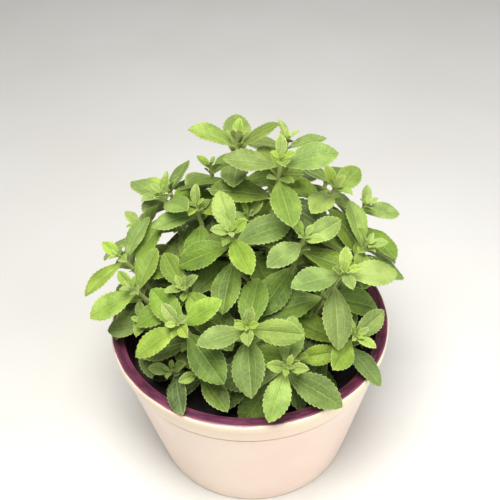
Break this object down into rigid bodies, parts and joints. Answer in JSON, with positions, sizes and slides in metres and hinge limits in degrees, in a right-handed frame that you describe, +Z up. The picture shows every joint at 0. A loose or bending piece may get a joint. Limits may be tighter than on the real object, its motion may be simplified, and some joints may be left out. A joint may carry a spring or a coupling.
{
  "type": "potted stevia plant",
  "caption": "Bushy stevia plant with opposite, toothed leaves on leafy stems, standing in soil in a round, tapered glazed pot with a collar and a rounded dark lip.",
  "frame": {"origin": "centre of the pot's flat foot, on the surface it stands on", "axes": "+Z up along the pot's axis, -Y towards the viewer of the reference view, +X to that viewer's right"},
  "size_m": [0.2713, 0.2604, 0.3197],
  "materials": {
    "pot_glaze": "gloss",
    "soil": "matte",
    "foliage": "matte"
  },
  "bodies": {
    "root": {"pot": "pot_glaze", "soil": "soil", "leafy_stem_01": "foliage", "leafy_stem_02": "foliage", "leafy_stem_03": "foliage", "leafy_stem_04": "foliage", "leafy_stem_05": "foliage", "leafy_stem_06": "foliage", "leafy_stem_07": "foliage", "leafy_stem_08": "foliage", "leafy_stem_09": "foliage", "leafy_stem_10": "foliage", "leafy_stem_11": "foliage", "leafy_stem_12": "foliage", "leafy_stem_13": "foliage", "leafy_stem_14": "foliage", "leafy_stem_15": "foliage", "leafy_stem_16": "foliage", "leafy_stem_17": "foliage", "leafy_stem_18": "foliage", "leafy_stem_19": "foliage", "leafy_stem_20": "foliage", "leafy_stem_21": "foliage", "leafy_stem_22": "foliage", "leafy_stem_23": "foliage", "leafy_stem_24": "foliage", "leafy_stem_25": "foliage", "leafy_stem_26": "foliage", "leafy_stem_27": "foliage"}
  },
  "joints": []
}
